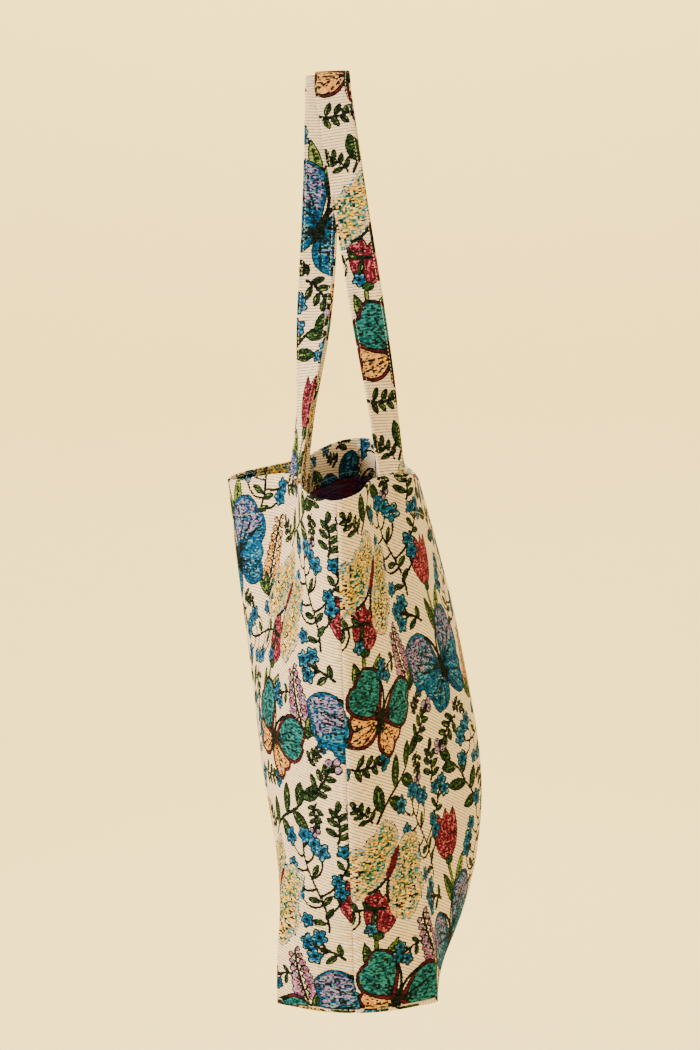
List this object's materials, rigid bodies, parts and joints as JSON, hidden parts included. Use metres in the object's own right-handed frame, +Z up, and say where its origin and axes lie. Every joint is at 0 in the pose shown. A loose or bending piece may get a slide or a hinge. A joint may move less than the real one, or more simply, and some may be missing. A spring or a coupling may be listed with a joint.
{
  "type": "tote bag",
  "caption": "Open-topped woven tapestry tote bag with a boxed base, a folded hem and long cloth carrying straps, hanging from its straps.",
  "frame": {"origin": "the underside of the front strap's loop at the top, where a hand or a hook carries the bag, in the plane of the side seams", "axes": "+Z up; X along the panels from the far side seam to the near one; the front panel on the -Y side of the seams and the back panel on the +Y side"},
  "size_m": [0.3468, 0.2087, 0.7519],
  "materials": {
    "tapestry": "matt woven jacquard, cream ground with coloured motifs, dark on its reverse",
    "strap_tapestry": "matt woven jacquard folded to a strap and sewn along its edges"
  },
  "bodies": {
    "root": {"front_panel": "tapestry", "back_panel": "tapestry", "front_strap": "strap_tapestry", "back_strap": "strap_tapestry"}
  },
  "joints": []
}
